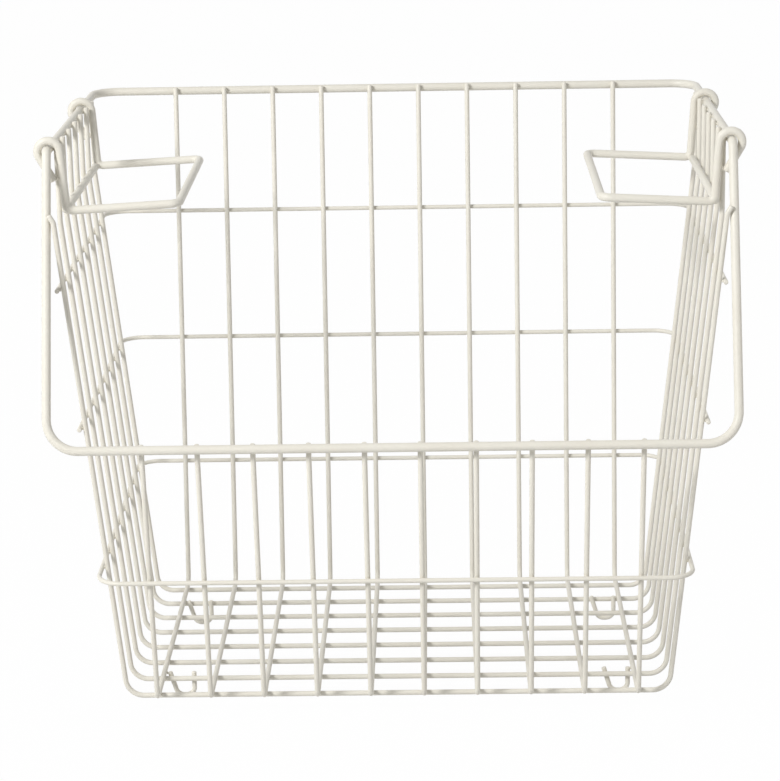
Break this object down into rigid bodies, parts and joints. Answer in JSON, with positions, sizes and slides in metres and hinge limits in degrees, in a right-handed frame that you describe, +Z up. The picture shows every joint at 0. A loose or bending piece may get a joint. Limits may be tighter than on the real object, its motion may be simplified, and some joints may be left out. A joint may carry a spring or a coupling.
{
  "type": "stacking wire basket",
  "caption": "Stacking metal wire basket with a lowered front, tapered mesh walls, wire feet and hinged wire brackets on the side rails that carry another basket.",
  "frame": {"origin": "on the surface it stands on, under the middle of its overall box", "axes": "+X to the basket's right as seen from its lowered front, +Y to its back, +Z up"},
  "size_m": [0.4504, 0.3166, 0.3846],
  "materials": {
    "coated_wire": "satin off-white powder coat over round steel wire"
  },
  "bodies": {
    "basket": {"rim_frame": "coated_wire", "long_wire_01": "coated_wire", "long_wire_02": "coated_wire", "long_wire_03": "coated_wire", "long_wire_04": "coated_wire", "long_wire_05": "coated_wire", "long_wire_06": "coated_wire", "long_wire_07": "coated_wire", "long_wire_08": "coated_wire", "long_wire_09": "coated_wire", "long_wire_10": "coated_wire", "side_hoop_01": "coated_wire", "side_hoop_02": "coated_wire", "side_hoop_03": "coated_wire", "side_hoop_04": "coated_wire", "side_hoop_05": "coated_wire", "side_hoop_06": "coated_wire", "side_hoop_07": "coated_wire", "side_hoop_08": "coated_wire", "upper_band": "coated_wire", "middle_band": "coated_wire", "lower_band": "coated_wire", "front_left_foot": "coated_wire", "front_right_foot": "coated_wire", "back_left_foot": "coated_wire", "back_right_foot": "coated_wire"},
    "left_bracket": {"left_bracket_wire": "coated_wire", "left_bracket_crossbar": "coated_wire"},
    "right_bracket": {"right_bracket_wire": "coated_wire", "right_bracket_crossbar": "coated_wire"}
  },
  "joints": [
    {"name": "left_bracket_hinge", "type": "hinge", "parent": "basket", "child": "left_bracket", "pos_m": [-0.21545, -0.00648, 0.37491], "axis": [0, -1, 0], "range_deg": [0, 290]},
    {"name": "right_bracket_hinge", "type": "hinge", "parent": "basket", "child": "right_bracket", "pos_m": [0.21545, -0.00648, 0.37491], "axis": [0, 1, 0], "range_deg": [0, 290]}
  ]
}
